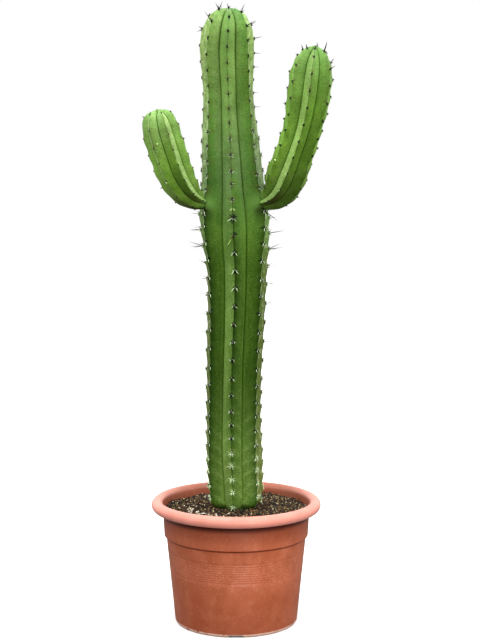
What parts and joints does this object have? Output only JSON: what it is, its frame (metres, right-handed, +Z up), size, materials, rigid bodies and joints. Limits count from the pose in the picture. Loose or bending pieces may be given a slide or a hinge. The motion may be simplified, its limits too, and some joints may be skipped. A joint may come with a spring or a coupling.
{
  "type": "potted polaskia chichipe",
  "caption": "Tall ribbed columnar cactus with a low and a high upturned arm and short spines, in a round terracotta coloured plastic pot with a rolled rim.",
  "frame": {"origin": "centre of the pot's foot, on the surface that it stands on", "axes": "+Z up along the pot's axis, -Y towards the front of the plant, +X towards its high arm"},
  "size_m": [0.3488, 0.31, 1.1165],
  "materials": {
    "pot": "satin",
    "soil": "matte",
    "cactus": "satin"
  },
  "bodies": {
    "root": {"pot": "pot", "soil": "soil", "cactus": "cactus"}
  },
  "joints": []
}
